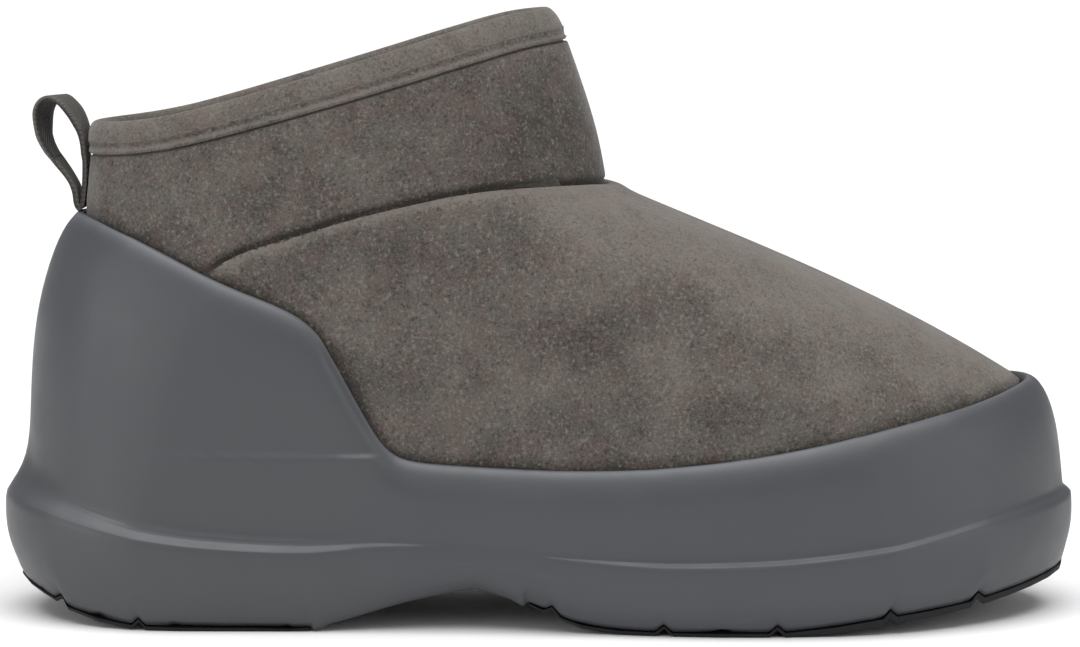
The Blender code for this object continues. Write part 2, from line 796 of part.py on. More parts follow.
def pod(name, plan, at_heel, material):
    """Grooved rubber sheet under one end of the foam."""
    count = len(plan) // 2 - 1
    x = plan[:, 0]
    top = bottom_ring(plan) - np.array([0.0, 0.0, GAP])
    drop = np.column_stack([np.zeros((len(plan), 2)), pod_thickness(x)])
    low = top - drop - outward_flat(plan) * 0.0006
    if at_heel:
        tip = 0
        pairs = [i for i in range(1, count + 1) if x[i] <= HEEL_POD_END * SOLE_LENGTH + 1e-6]
        away = -GAP
    else:
        tip = len(plan) // 2
        pairs = [i for i in range(count, 0, -1) if x[i] >= FRONT_POD_START * SOLE_LENGTH - 1e-6]
        away = GAP
    last = pairs[-1]
    for face in (top, low):
        face[last, 0] += away
        face[-last, 0] += away
    points = [top[tip], low[tip]]
    faces = []
    rails = []
    for i in pairs:
        rail = []
        for face in (top, low):
            across = [face[i]]
            across += [face[i] * (1 - share) + face[-i] * share for share in ACROSS]
            across.append(face[-i])
            rail.append(list(range(len(points), len(points) + len(across))))
            points += across
        rails.append(rail)
    side = len(ACROSS) + 1
    for layer in (0, 1):
        for k in range(side):
            faces.append([layer, rails[0][layer][k], rails[0][layer][k + 1]])
    for first, second in zip(rails, rails[1:]):
        for layer in (0, 1):
            for k in range(side):
                faces.append([first[layer][k], second[layer][k], second[layer][k + 1], first[layer][k + 1]])
        for k in (0, side):
            faces.append([first[0][k], second[0][k], second[1][k], first[1][k]])
    for k in (0, side):
        faces.append([0, rails[0][0][k], rails[0][1][k], 1])
    for k in range(side):
        faces.append([rails[-1][0][k], rails[-1][0][k + 1], rails[-1][1][k + 1], rails[-1][1][k]])
    return make_object(name, points, faces, material, smooth=False)


def surface_at_heel(outside, z):
    """Place along X of the upper's outside at the middle of the heel, at height z."""
    line = outside[:, 0]
    return float(np.interp(z, line[:, 2], line[:, 0]))


def smooth_loop(rows, between):
    """Closed smooth curve through the rows, with extra points between them."""
    made = []
    n = len(rows)
    for i in range(n):
        p0, p1, p2, p3 = (rows[(i + k) % n] for k in (-1, 0, 1, 2))
        for j in range(between):
            t = j / between
            made.append(
                0.5 * (2 * p1 + (p2 - p0) * t + (2 * p0 - 5 * p1 + 4 * p2 - p3) * t * t)
                + 0.5 * (3 * p1 - p0 - 3 * p2 + p3) * t ** 3
            )
    return np.array(made)


def pull_loop(plan, material):
    """Closed loop of strap standing behind the collar, turned a little at its top."""
    outside = outside_of_upper(plan)[0]
    foot_z = COUNTER_HEIGHT + 0.0010 + GAP + LOOP_WALL / 2
    front_x = surface_at_heel(outside, foot_z) - GAP - LOOP_WALL / 2 - 0.0003
    rows = np.array([[back * LOOP_LENGTH, height * LOOP_HEIGHT] for back, height in LOOP])
    path = smooth_loop(rows, 2)
    step = unit(np.roll(path, -1, axis=0) - np.roll(path, 1, axis=0))
    points = []
    faces = []
    rings = []
    for (back, height), (run, climb) in zip(path, step):
        turn = math.radians(LOOP_TWIST) * float(ease((height / LOOP_HEIGHT - 0.42) / 0.55))
        ring = []
        for across, through in ((-1, -1), (1, -1), (1, 1), (-1, 1)):
            out = -back + climb * through * LOOP_WALL / 2
            up = height + run * through * LOOP_WALL / 2
            side = across * LOOP_WIDTH / 2
            middle = -0.5 * LOOP_LENGTH * float(ease((height / LOOP_HEIGHT - 0.42) / 0.55))
            px = middle + (out - middle) * math.cos(turn) + side * math.sin(turn)
            py = -(out - middle) * math.sin(turn) + side * math.cos(turn)
            points.append(np.array([front_x + px, py, foot_z + up]))
            ring.append(len(points) - 1)
        rings.append(ring)
    for first, second in zip(rings, rings[1:] + rings[:1]):
        strip(faces, first, second)
    return make_object("pull_loop", points, faces, material)


def build():
    for obj in list(bpy.data.objects):
        bpy.data.objects.remove(obj)
    places, needed = column_places()
    plan = plan_ring(places)
    keep = np.concatenate([[True], needed, [True], needed[::-1]])
    foam = surface("moulded_foam", (90, 92, 95), 0.55)
    rubber = surface("outsole_rubber", (46, 47, 50), 0.75)
    suede = surface("brushed_suede", (107, 102, 97), 0.95)
    band = surface("collar_suede", (104, 99, 94), 0.95)
    strap = surface("strap_webbing", (86, 84, 83), 0.85)
    felt = surface("insole_felt", (74, 71, 68), 0.95)
    midsole(plan, keep, foam)
    upper(plan, keep, suede)
    collar_band(plan, keep, band)
    insole(plan, keep, felt)
    pod("outsole_heel", plan, True, rubber)
    pod("outsole_forefoot", plan, False, rubber)
    pull_loop(plan, strap)


build()
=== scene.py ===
# Looks of a low apres ski boot: brushed suede upper, folded collar band, moulded foam cup sole, rubber pods
# Each piece starts from its CAD node and stands for it; metres, +X toward the toe, +Z up
import math

import bmesh
import bpy
import numpy as np
from bpy.props import FloatProperty, FloatVectorProperty, IntProperty, PointerProperty
from bpy.types import Operator, Panel, PropertyGroup
from mathutils import Matrix, Vector
from mathutils.bvhtree import BVHTree
from mathutils.kdtree import KDTree


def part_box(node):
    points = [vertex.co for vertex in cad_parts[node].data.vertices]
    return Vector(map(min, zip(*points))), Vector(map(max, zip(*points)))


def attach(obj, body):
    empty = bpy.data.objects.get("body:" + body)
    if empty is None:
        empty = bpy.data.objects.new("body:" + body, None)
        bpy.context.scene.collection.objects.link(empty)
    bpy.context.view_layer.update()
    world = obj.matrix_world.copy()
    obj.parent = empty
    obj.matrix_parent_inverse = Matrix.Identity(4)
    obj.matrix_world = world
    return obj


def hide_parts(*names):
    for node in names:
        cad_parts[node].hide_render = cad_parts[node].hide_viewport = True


bl_info = {
    "name": "Apres ski boot",
    "version": (1, 0, 0),
    "blender": (4, 5, 0),
    "location": "3D View > Sidebar > Boot",
    "description": "Finishes the solids of a low winter boot in suede, foam, rubber and strap",
    "category": "Object",
}

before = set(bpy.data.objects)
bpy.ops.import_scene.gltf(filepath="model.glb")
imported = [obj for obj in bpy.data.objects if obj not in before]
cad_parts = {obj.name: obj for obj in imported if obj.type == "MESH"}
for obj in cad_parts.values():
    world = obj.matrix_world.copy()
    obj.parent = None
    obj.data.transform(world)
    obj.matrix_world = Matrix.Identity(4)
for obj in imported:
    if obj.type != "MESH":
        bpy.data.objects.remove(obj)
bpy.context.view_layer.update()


def hex_colour(text):
    """An sRGB hex value as the linear colour that Blender works in."""
    made = []
    for place in (0, 2, 4):
        share = int(text[place:place + 2], 16) / 255
        made.append(share / 12.92 if share <= 0.04045 else ((share + 0.055) / 1.055) ** 2.4)
    return tuple(made)


def colour_property(name, description, text):
    return FloatVectorProperty(
        name=name, description=description, default=hex_colour(text), subtype="COLOR", size=3, min=0, max=1)


class BootColours(PropertyGroup):
    """Colours of the boot's materials."""

    # The two suede colours are the ends of one mix: the nap's brushed tone, and also lit and shaded suede for
    # the painted light and shade
    suede_light: colour_property("Light nap", "Suede where the nap is brushed toward the light", "716b65")
    suede_dark: colour_property("Dark nap", "Suede where the nap is brushed away from the light", "373330")
    suede_warm: colour_property("Warm patches", "Faint rosy patches in the suede's dye", "62524f")
    suede_green: colour_property("Green patches", "Faint greenish patches in the suede's dye", "5a5a53")
    foam: colour_property("Foam", "Moulded foam of the cup sole", "404144")
    foam_cool: colour_property("Cool foam", "Slightly bluer parts of the foam", "3e4044")
    # Colour of the painted highlight on the foam's lip, ledge and step
    foam_highlight: colour_property("Foam lip", "Thin edge of the foam, where it is paler", "5b5e62")
    rubber: colour_property("Outsole rubber", "Rubber pods under the foam", "18191b")
    strap: colour_property("Strap", "Woven strap of the pull loop", "5c5955")
    # Also the colour of the painted shade inside the loop
    strap_dark: colour_property("Strap shade", "Low threads of the strap's weave", "322f2d")
    lining: colour_property("Lining", "Short pile textile inside the upper", "393633")
    thread: colour_property("Thread", "Stitches along the collar band", "66615c")
    felt: colour_property("Insole felt", "Loose pad on the footbed", "3b3836")
    floor: colour_property("Floor", "Plain pale floor", "f6f6f6")


class BootSizes(PropertyGroup):
    """Sizes of the details that the CAD solids leave out."""

    stitch_spacing: FloatProperty(
        name="Stitch spacing", description="From one stitch of the collar band to the next",
        default=0.0052, unit="LENGTH")
    stitch_length: FloatProperty(
        name="Stitch length", description="Visible length of one stitch", default=0.0034, unit="LENGTH")
    thread_width: FloatProperty(
        name="Thread width", description="Thickness of the sewing thread", default=0.0005, unit="LENGTH")
    hem_height: FloatProperty(
        name="Hem height", description="From the collar band's lower edge to its row of stitches",
        default=0.0024, unit="LENGTH")
    groove_depth: FloatProperty(
        name="Stitch groove", description="How far the stitches pull the suede in",
        default=0.0003, unit="LENGTH")
    hem_press: FloatProperty(
        name="Hem press", description="How far the folded hem is pressed flat",
        default=0.0006, unit="LENGTH")
    seam_puff: FloatProperty(
        name="Seam puff", description="How far the vamp stands out below its folded top edge",
        default=0.0006, unit="LENGTH")
    seam_depth: FloatProperty(
        name="Seam depth", description="How far the shaft dips in above the vamp's folded edge",
        default=0.0012, unit="LENGTH")
    crease_strength: FloatProperty(
        name="Crease strength", description="Share of their depth that the creases in the table are given",
        default=1.0, min=0, max=2)
    wing_height: FloatProperty(
        name="Wing height", description="Height of the soft step under the counter's wing",
        default=0.0487, unit="LENGTH")
    clearance: FloatProperty(
        name="Clearance",
        description="How far the suede's hidden parts draw back from the pieces that cover them",
        default=0.0004, unit="LENGTH")
    wing_step: FloatProperty(
        name="Wing step", description="How far the rand stands out below the counter's wing",
        default=0.0010, unit="LENGTH")
    ledge_flare: FloatProperty(
        name="Ledge flare", description="How far the wall flares out just above the heel's ledge",
        default=0.0011, unit="LENGTH")
    rubber_cut: FloatProperty(
        name="Rubber cut", description="How far the foam comes down over the side of the rubber",
        default=0.0008, unit="LENGTH")
    smoothness: IntProperty(
        name="Smoothness", description="Levels of subdivision of the large pieces", default=2, min=1, max=3)


# Soft creases of the suede, placed on each side of the boot. Each row has the side, -1 the wearer's
# right and 1 the left, both ends as x and z, the half width, and how far the skin rises, less than zero
# where it sinks
CREASES = (
    (-1, (-0.078, 0.0945), (0.014, 0.1105), 0.0050, -0.0005),
    (-1, (0.004, 0.0790), (0.040, 0.0885), 0.0055, -0.0007),
    (-1, (-0.012, 0.0830), (0.030, 0.0990), 0.0060, 0.0006),
    (-1, (0.022, 0.0600), (-0.004, 0.0525), 0.0055, -0.0006),
    (-1, (0.030, 0.0720), (0.052, 0.0700), 0.0060, 0.0005),
    (-1, (0.054, 0.0690), (0.084, 0.0640), 0.0055, 0.0005),
    (-1, (0.086, 0.0790), (0.094, 0.0640), 0.0050, -0.0005),
    (-1, (-0.096, 0.1200), (-0.058, 0.1350), 0.0060, 0.0005),
    (-1, (-0.104, 0.1060), (-0.066, 0.1180), 0.0050, -0.0005),
    (-1, (-0.002, 0.1400), (0.012, 0.1260), 0.0050, -0.0005),
    (1, (-0.076, 0.0950), (0.016, 0.1110), 0.0050, -0.0005),
    (1, (0.000, 0.0760), (0.036, 0.0905), 0.0055, -0.0007),
    (1, (-0.018, 0.0850), (0.024, 0.1000), 0.0060, 0.0006),
    (1, (0.034, 0.0650), (0.048, 0.0760), 0.0050, -0.0006),
    (1, (0.058, 0.0660), (0.080, 0.0690), 0.0060, 0.0005),
    (1, (-0.088, 0.1240), (-0.044, 0.1330), 0.0060, 0.0005),
    (1, (-0.098, 0.1080), (-0.060, 0.1150), 0.0050, -0.0005),
)

# Spans along the boot: the x where a detail starts, is full, starts to fade and ends
LEDGE_FLARE_SPAN = (-0.135, -0.105, -0.072, -0.032)
LEDGE_PALE_SPAN = (-0.150, -0.130, -0.080, -0.035)
WING_SPAN = (-0.110, -0.080, -0.048, -0.040)
WAIST_SPAN = (-0.082, -0.064, -0.002, 0.016)

# Height below which the cup sole's sharp edges stay crisp, and how far its foam stays off the floor
CRISP_BELOW = 0.0425
OFF_FLOOR = 0.0005

# Heights that the vamp's seam lies between, and how far from the seam the suede is cut finer
SEAM_LOW, SEAM_HIGH = 0.105, 0.117
SEAM_REACH = 0.0080

# Painted light on a raised crease and painted shade in a sunken one, for each metre of rise, and the most
# that the painted light and the nap's tone may lift the suede
CREASE_LIGHT_PER_METRE = 220
LIGHTEST_NAP_AND_LIGHT = 0.44

# The upright line that the upper's outside looks away from, and the lean that counts level places as outside
UPPER_CENTRE = np.array([-0.045, 0.0, 0.0])
LEVEL_TOO = 0.8

# The hollow's middle line, from above the collar down and on to the toes
HOLLOW_LINE = np.array([(-0.062, 0, 0.190), (-0.062, 0, 0.070), (-0.040, 0, 0.054), (0.100, 0, 0.044)])

# The rubber pods: each node, and the piece that stands for it
PODS = (("outsole_heel", "heel_pod"), ("outsole_forefoot", "forefoot_pod"))


def only(piece):
    """Makes the piece the one selected and active object."""
    bpy.ops.object.select_all(action="DESELECT")
    piece.select_set(True)
    bpy.context.view_layer.objects.active = piece


def start_from_node(node, name):
    """A copy of a CAD node's mesh, merged, with its triangles joined to quads."""
    piece = bpy.data.objects.new(name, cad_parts[node].data.copy())
    bpy.context.scene.collection.objects.link(piece)
    piece.data.name = name
    piece.data.materials.clear()
    only(piece)
    bpy.ops.object.mode_set(mode="EDIT")
    bpy.ops.mesh.select_all(action="SELECT")
    bpy.ops.mesh.remove_doubles(threshold=0.000001)
    bpy.ops.mesh.tris_convert_to_quads(
        face_threshold=math.pi, shape_threshold=math.pi, topology_influence=1.0)
    bpy.ops.object.mode_set(mode="OBJECT")
    return piece


def crease_sharp_edges(piece, degrees, value, below=1.0):
    """Keeps the edges that bend more than this, below a height, crisp when the piece is smoothed."""
    only(piece)
    bpy.ops.object.mode_set(mode="EDIT")
    bpy.ops.mesh.select_mode(type="EDGE")
    bpy.ops.mesh.select_all(action="DESELECT")
    bpy.ops.mesh.edges_select_sharp(sharpness=math.radians(degrees))
    body = bmesh.from_edit_mesh(piece.data)
    for edge in body.edges:
        if edge.select and max(v.co.z for v in edge.verts) > below:
            edge.select_set(False)
    bmesh.update_edit_mesh(piece.data)
    bpy.ops.transform.edge_crease(value=value)
    bpy.ops.object.mode_set(mode="OBJECT")


def refine(piece, wanted, cuts):
    """Cuts the faces whose corners are all wanted into smaller ones."""
    only(piece)
    bpy.ops.object.mode_set(mode="EDIT")
    bpy.ops.mesh.select_mode(type="FACE")
    bpy.ops.mesh.select_all(action="DESELECT")
    body = bmesh.from_edit_mesh(piece.data)
    for face in body.faces:
        face.select_set(all(wanted[v.index] for v in face.verts))
    bmesh.update_edit_mesh(piece.data)
    bpy.ops.mesh.subdivide(number_cuts=cuts, smoothness=0.0)
    bpy.ops.object.mode_set(mode="OBJECT")


def smooth(piece, levels):
    """Subdivides the piece as a smooth surface and shades it smooth."""
    only(piece)
    bpy.ops.object.modifier_add(type="SUBSURF")
    modifier = piece.modifiers[-1]
    modifier.levels = levels
    modifier.render_levels = levels
    bpy.ops.object.modifier_apply(modifier=modifier.name)
    bpy.ops.object.shade_smooth()


def sharp_lines(piece, degrees):
    """Lines of edges that bend more than this, as arrays of points in order, longest first."""
    body = bmesh.new()
    body.from_mesh(piece.data)
    sharp = {e.index: e for e in body.edges if e.calc_face_angle(0.0) > math.radians(degrees)}
    lines = []
    while sharp:
        edge = sharp.pop(min(sharp))
        ends = []
        for point in edge.verts:
            run = [point]
            following = next((e for e in run[-1].link_edges if e.index in sharp), None)
            while following is not None:
                sharp.pop(following.index)
                run.append(following.other_vert(run[-1]))
                following = next((e for e in run[-1].link_edges if e.index in sharp), None)
            ends.append([tuple(v.co) for v in run])
        lines.append(np.array(ends[0][::-1] + ends[1]))
    body.free()
    return sorted(lines, key=lambda line: -np.linalg.norm(np.diff(line, axis=0), axis=1).sum())


def evenly(line, spacing):
    """The line as points at an even spacing."""
    run = np.concatenate([[0], np.cumsum(np.linalg.norm(np.diff(line, axis=0), axis=1))])
    count = max(2, round(run[-1] / spacing))
    places = np.arange(count + 1) * run[-1] / count
    return np.column_stack([np.interp(places, run, line[:, k]) for k in range(3)])


def off_line(points, line):
    """For each point: how far it is from the line, how far along it that is, and the place on the line."""
    close = evenly(line, 0.0003)
    tree = KDTree(len(close))
    for number, point in enumerate(close):
        tree.insert(point, number)
    tree.balance()
    found = [tree.find(point) for point in points]
    step = np.linalg.norm(close[1] - close[0])
    places = np.array([tuple(f[0]) for f in found])
    return np.array([f[2] for f in found]), np.array([f[1] for f in found]) * step, places


def outer_edge(line, centre):
    """The outer one of two close rings that came as one line."""
    apart = np.linalg.norm(line[:, None] - line[None], axis=2)
    apart[apart < 0.000001] = 1
    partner = apart.argmin(axis=1)
    reach = np.linalg.norm((line - centre)[:, :2], axis=1)
    return line[reach >= reach[partner]]


def surface_tree(piece):
    """A search tree over the faces of the piece's own mesh."""
    mesh = piece.data
    return BVHTree.FromPolygons([v.co for v in mesh.vertices], [p.vertices for p in mesh.polygons])


def off_surface(points, piece):
    """How far each point is from the surface of a piece."""
    tree = surface_tree(piece)
    return np.array([tree.find_nearest(Vector(point))[3] for point in points])


def facing_out(places, normals, centre, lean=0.0):
    """Share, from 0 to 1, by which each point looks away from the upright line through the centre."""
    away = (places - centre)[:, :2]
    away /= np.linalg.norm(away, axis=1, keepdims=True)
    return ease((away * normals[:, :2]).sum(axis=1) * 4 + lean)


def toward_hollow(places, normals):
    """How squarely each place looks at the hollow's middle line: 1 straight at it, -1 straight away."""
    _, _, nearest = off_line(places, HOLLOW_LINE)
    way = nearest - places
    way /= np.maximum(np.linalg.norm(way, axis=1, keepdims=True), 0.000001)
    return (way * normals).sum(axis=1)


def keep_value(piece, name, values):
    """Keeps one number for each vertex, for a material to read."""
    layer = piece.data.attributes.new(name, "FLOAT", "POINT")
    layer.data.foreach_set("value", values.astype(np.float32))


def points_of(piece):
    """Places and normals of the piece's vertices."""
    count = len(piece.data.vertices)
    places = np.empty(count * 3)
    normals = np.empty(count * 3)
    piece.data.vertices.foreach_get("co", places)
    piece.data.vertex_normals.foreach_get("vector", normals)
    return places.reshape(-1, 3), normals.reshape(-1, 3)


def put_points(piece, places):
    """Moves the piece's vertices to these places."""
    piece.data.vertices.foreach_set("co", places.ravel())
    piece.data.update()


def ease(value):
    """A soft step: 0 up to 0, 1 from 1 on."""
    value = np.clip(value, 0, 1)
    return value * value * (3 - 2 * value)


def hump(value, width):
    """A soft bump: 1 at 0, close to 0 from two widths on."""
    return np.exp(-(value / width) ** 2)


def span(x, start, full, fading, end):
    """1 from full to fading, easing to 0 at the start and at the end."""
    return ease((x - start) / (full - start)) * (1 - ease((x - fading) / (end - fading)))


def rubber_drop(x, sizes):
    """How far the seam between foam and rubber is lowered at each x: more beside the waist and at the toe."""
    at_toe = ease((x - 0.085) / 0.030)
    return sizes.rubber_cut * (1 + 0.4 * span(x, *WAIST_SPAN) + 0.5 * at_toe)


def over_rubber(places, sizes):
    """How far each place of the foam is lowered, so that it covers the upper part of the rubber's side."""
    off = np.minimum(*(off_surface(places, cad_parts[node]) for node, _ in PODS))
    beside = 1 - ease((off - 0.0004) / 0.0050)
    return rubber_drop(places[:, 0], sizes) * beside * (places[:, 2] < 0.025)


def creased(places):
    """How far the table of creases raises the suede at each place."""
    rise = np.zeros(len(places))
    flat = places[:, (0, 2)]
    for side, start, end, width, depth in CREASES:
        start = np.array(start)
        along = np.array(end) - start
        share = np.clip((flat - start) @ along / (along @ along), 0, 1)
        off = np.linalg.norm(flat - start - share[:, None] * along, axis=1)
        fade = 0.35 + 0.65 * np.sin(math.pi * np.clip(share, 0.05, 0.95))
        rise += depth * fade * hump(off, width) * ease(0.5 + places[:, 1] * side / 0.016)
    return rise


def add_node(tree, kind, settings=None, inputs=None):
    """One node with its settings; an input given as a socket is linked, any other is set."""
    node = tree.nodes.new(kind)
    for name, value in (settings or {}).items():
        setattr(node, name, value)
    for name, value in (inputs or {}).items():
        if isinstance(value, bpy.types.NodeSocket):
            tree.links.new(value, node.inputs[name])
        else:
            node.inputs[name].default_value = value
    return node


def new_material(name, roughness, **sockets):
    """A material with its shader's even values set on the shader's own sockets."""
    material = bpy.data.materials.new(name)
    material.use_nodes = True
    shader = material.node_tree.nodes["Principled BSDF"]
    shader.inputs["Roughness"].default_value = roughness
    for socket, value in sockets.items():
        shader.inputs[socket.replace("_", " ")].default_value = value
    return material, material.node_tree, shader


def opaque(colour):
    return (*colour, 1.0)


def brushed_suede(colours):
    """Split leather with a raised nap: no gloss, dark and light where the nap was brushed either way, plus
    painted light and shade read from the vertices.
    """
    material, tree, shader = new_material(
        "brushed_suede", 0.95, Specular_IOR_Level=0.15, Sheen_Weight=0.25, Sheen_Roughness=0.4)
    where = add_node(tree, "ShaderNodeTexCoord").outputs["Object"]
    # Brush marks some 16 mm across, over smaller ones of about 4 mm
    broad = add_node(tree, "ShaderNodeTexNoise", {}, {
        "Vector": where, "Scale": 62.0, "Detail": 3.0, "Roughness": 0.55})
    small = add_node(tree, "ShaderNodeTexNoise", {}, {
        "Vector": where, "Scale": 260.0, "Detail": 3.0, "Roughness": 0.6})
    # Tufts of nap, really 0.3 mm, drawn 0.6 mm across so that they show
    tufts = add_node(tree, "ShaderNodeTexNoise", {}, {
        "Vector": where, "Scale": 1700.0, "Detail": 3.0, "Roughness": 0.65})
    # Single dark pits and pale fibre ends, some 2 mm apart
    grains = add_node(tree, "ShaderNodeTexNoise", {}, {
        "Vector": where, "Scale": 1050.0, "Detail": 2.0, "Roughness": 0.55})
    pits = add_node(tree, "ShaderNodeMapRange", {}, {
        "Value": grains.outputs["Fac"], "From Min": 0.27, "From Max": 0.41, "To Min": -0.50, "To Max": 0.0})
    ends = add_node(tree, "ShaderNodeMapRange", {}, {
        "Value": grains.outputs["Fac"], "From Min": 0.57, "From Max": 0.72, "To Min": 0.0, "To Max": 0.80})
    spots = add_node(tree, "ShaderNodeMath", {"operation": "ADD"}, {
        0: pits.outputs["Result"], 1: ends.outputs["Result"]})
    dye = add_node(tree, "ShaderNodeTexNoise", {"noise_dimensions": "4D"}, {
        "Vector": where, "W": 3.0, "Scale": 150.0, "Detail": 2.0})
    brushed = add_node(tree, "ShaderNodeMapRange", {}, {
        "Value": broad.outputs["Fac"], "From Min": 0.30, "From Max": 0.70, "To Min": 0.26, "To Max": 0.64})
    patches = add_node(tree, "ShaderNodeMath", {"operation": "MULTIPLY_ADD"}, {
        0: small.outputs["Fac"], 1: 0.5, 2: -0.25})
    nap = add_node(tree, "ShaderNodeMath", {"operation": "ADD"}, {
        0: brushed.outputs["Result"], 1: patches.outputs[0]})
    specks = add_node(tree, "ShaderNodeMapRange", {}, {
        "Value": tufts.outputs["Fac"], "From Min": 0.33, "From Max": 0.67, "To Min": -0.26, "To Max": 0.26})
    # Painted light and shade kept on the vertices, with a little of the nap's tone, added to the mix of dark
    # and light suede
    shift = add_node(tree, "ShaderNodeAttribute", {"attribute_name": "nap_tone_and_painted_light"})
    spotted = add_node(tree, "ShaderNodeMath", {"operation": "ADD"}, {0: nap.outputs[0], 1: spots.outputs[0]})
    nap_and_painted_light = add_node(tree, "ShaderNodeMath", {"operation": "ADD"}, {
        0: spotted.outputs[0], 1: shift.outputs["Fac"]})
    share = add_node(tree, "ShaderNodeMath", {"operation": "ADD", "use_clamp": True}, {
        0: nap_and_painted_light.outputs[0], 1: specks.outputs["Result"]})
    low = add_node(tree, "ShaderNodeMix", {"data_type": "RGBA"}, {
        "Factor": share.outputs[0], "A": opaque(colours.suede_dark), "B": opaque(colours.suede_light)})
    tint = add_node(tree, "ShaderNodeMapRange", {}, {
        "Value": dye.outputs["Fac"], "From Min": 0.45, "From Max": 0.75, "To Min": 0.0, "To Max": 0.40})
    final = add_node(tree, "ShaderNodeMix", {"data_type": "RGBA"}, {
        "Factor": tint.outputs["Result"], "A": low.outputs["Result"], "B": opaque(colours.suede_warm)})
    cast = add_node(tree, "ShaderNodeMapRange", {}, {
        "Value": dye.outputs["Fac"], "From Min": 0.55, "From Max": 0.25, "To Min": 0.0, "To Max": 0.35})
    final = add_node(tree, "ShaderNodeMix", {"data_type": "RGBA"}, {
        "Factor": cast.outputs["Result"], "A": final.outputs["Result"], "B": opaque(colours.suede_green)})
    tree.links.new(final.outputs["Result"], shader.inputs["Base Color"])
    fine = add_node(tree, "ShaderNodeBump", {}, {
        "Strength": 0.45, "Distance": 0.0004, "Height": tufts.outputs["Fac"]})
    soft = add_node(tree, "ShaderNodeBump", {}, {
        "Strength": 0.4, "Distance": 0.0010, "Height": small.outputs["Fac"],
        "Normal": fine.outputs["Normal"]})
    tree.links.new(soft.outputs["Normal"], shader.inputs["Normal"])
    return material


def moulded_foam(colours):
    """Ethylene vinyl acetate foam from a smooth mould: a closed satin skin with a faint grain."""
    material, tree, shader = new_material("moulded_foam", 0.45, Specular_IOR_Level=0.5)
    where = add_node(tree, "ShaderNodeTexCoord").outputs["Object"]
    # Dye that drifts over some 80 mm, and a skin grain really 0.1 mm, drawn 0.4 mm
    drift = add_node(tree, "ShaderNodeTexNoise", {}, {"Vector": where, "Scale": 12.0, "Detail": 2.0})
    grain = add_node(tree, "ShaderNodeTexNoise", {}, {
        "Vector": where, "Scale": 2400.0, "Detail": 2.0, "Roughness": 0.6})
    dents = add_node(tree, "ShaderNodeTexNoise", {}, {"Vector": where, "Scale": 90.0, "Detail": 2.0})
    share = add_node(tree, "ShaderNodeMapRange", {}, {
        "Value": drift.outputs["Fac"], "From Min": 0.35, "From Max": 0.65})
    base = add_node(tree, "ShaderNodeMix", {"data_type": "RGBA"}, {
        "Factor": share.outputs["Result"], "A": opaque(colours.foam), "B": opaque(colours.foam_cool)})
    # Painted highlight on the lip, the heel's ledge and the wing's step, kept on the vertices
    lip = add_node(tree, "ShaderNodeAttribute", {"attribute_name": "lip"})
    pale = add_node(tree, "ShaderNodeMix", {"data_type": "RGBA"}, {
        "Factor": lip.outputs["Fac"], "A": base.outputs["Result"], "B": opaque(colours.foam_highlight)})
    tree.links.new(pale.outputs["Result"], shader.inputs["Base Color"])
    rough = add_node(tree, "ShaderNodeMapRange", {}, {
        "Value": dents.outputs["Fac"], "From Min": 0.3, "From Max": 0.7, "To Min": 0.41, "To Max": 0.50})
    tree.links.new(rough.outputs["Result"], shader.inputs["Roughness"])
    fine = add_node(tree, "ShaderNodeBump", {}, {
        "Strength": 0.12, "Distance": 0.0001, "Height": grain.outputs["Fac"]})
    tree.links.new(fine.outputs["Normal"], shader.inputs["Normal"])
    return material


def outsole_rubber(colours):
    """Pressed carbon rubber: near black and matt, with fine ribs across the tread."""
    material, tree, shader = new_material("outsole_rubber", 0.78, Specular_IOR_Level=0.35)
    where = add_node(tree, "ShaderNodeTexCoord").outputs["Object"]
    # Ribs 2.5 mm apart along the boot, and a pressed grain drawn 0.5 mm
    ribs = add_node(tree, "ShaderNodeTexWave", {"wave_type": "BANDS", "bands_direction": "X"}, {
        "Vector": where, "Scale": 2 * math.pi / 0.0025 / 20, "Distortion": 0.0})
    grain = add_node(tree, "ShaderNodeTexNoise", {}, {"Vector": where, "Scale": 1800.0, "Detail": 2.0})
    share = add_node(tree, "ShaderNodeMapRange", {}, {
        "Value": grain.outputs["Fac"], "From Min": 0.3, "From Max": 0.7, "To Min": 0.85, "To Max": 1.15})
    base = add_node(tree, "ShaderNodeMix", {"data_type": "RGBA", "blend_type": "MULTIPLY"}, {
        "Factor": 1.0, "A": opaque(colours.rubber), "B": share.outputs["Result"]})
    tree.links.new(base.outputs["Result"], shader.inputs["Base Color"])
    facing = add_node(tree, "ShaderNodeSeparateXYZ", {}, {
        "Vector": add_node(tree, "ShaderNodeNewGeometry").outputs["Normal"]})
    beneath = add_node(tree, "ShaderNodeMapRange", {}, {
        "Value": facing.outputs["Z"], "From Min": -0.5, "From Max": -0.9, "To Min": 0.0, "To Max": 0.6})
    tread = add_node(tree, "ShaderNodeBump", {}, {
        "Strength": beneath.outputs["Result"], "Distance": 0.0006, "Height": ribs.outputs["Fac"]})
    fine = add_node(tree, "ShaderNodeBump", {}, {
        "Strength": 0.3, "Distance": 0.0002, "Height": grain.outputs["Fac"],
        "Normal": tread.outputs["Normal"]})
    tree.links.new(fine.outputs["Normal"], shader.inputs["Normal"])
    return material


